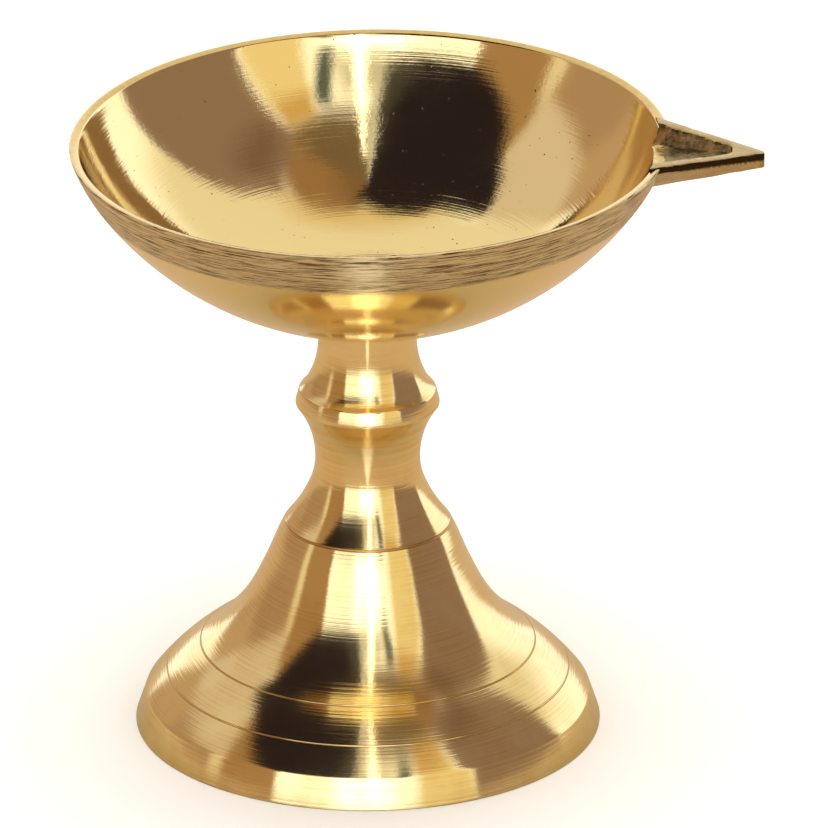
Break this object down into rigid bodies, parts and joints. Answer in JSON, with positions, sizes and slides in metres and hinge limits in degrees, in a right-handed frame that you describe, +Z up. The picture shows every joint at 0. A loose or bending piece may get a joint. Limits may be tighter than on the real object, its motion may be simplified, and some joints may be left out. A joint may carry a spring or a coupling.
{
  "type": "butter lamp",
  "caption": "Small brass pedestal lamp: a shallow round bowl with a pointed wick spout on a turned stem and a flared hollow foot; the bowl unscrews.",
  "frame": {"origin": "on the table at the axis of the stem and foot, centre of the foot's ring-shaped rest face", "axes": "+Z up along the stem's axis, +X towards the wick spout, +Y completes a right-handed frame"},
  "size_m": [0.0735, 0.0634, 0.067],
  "materials": {
    "bowl_brass": "cast brass, turned bright inside and out, linished in a band below the rim, as cast in the spout",
    "stem_brass": "turned and polished brass with fine feed lines",
    "foot_brass": "turned and polished brass outside, rough cast inside the hollow",
    "fastener_brass": "plain machined brass"
  },
  "bodies": {
    "stand": {"foot": "foot_brass", "stem": "stem_brass", "foot_washer": "fastener_brass", "foot_nut": "fastener_brass"},
    "stud": {"bowl_stud": "fastener_brass"},
    "bowl": {"bowl": "bowl_brass"}
  },
  "joints": [
    {"name": "bowl_turn", "type": "hinge", "parent": "stand", "child": "stud", "pos_m": [0, 0, 0.0459], "axis": [0, 0, 1], "range_deg": [0, 720]},
    {"name": "bowl_rise", "type": "slide", "parent": "stud", "child": "bowl", "axis": [0, 0, 1], "range_m": [0, 0.00201]}
  ],
  "couplings": [
    {"joint": "bowl_rise", "follows": "bowl_turn", "m_per_rad": 0.00015915}
  ]
}
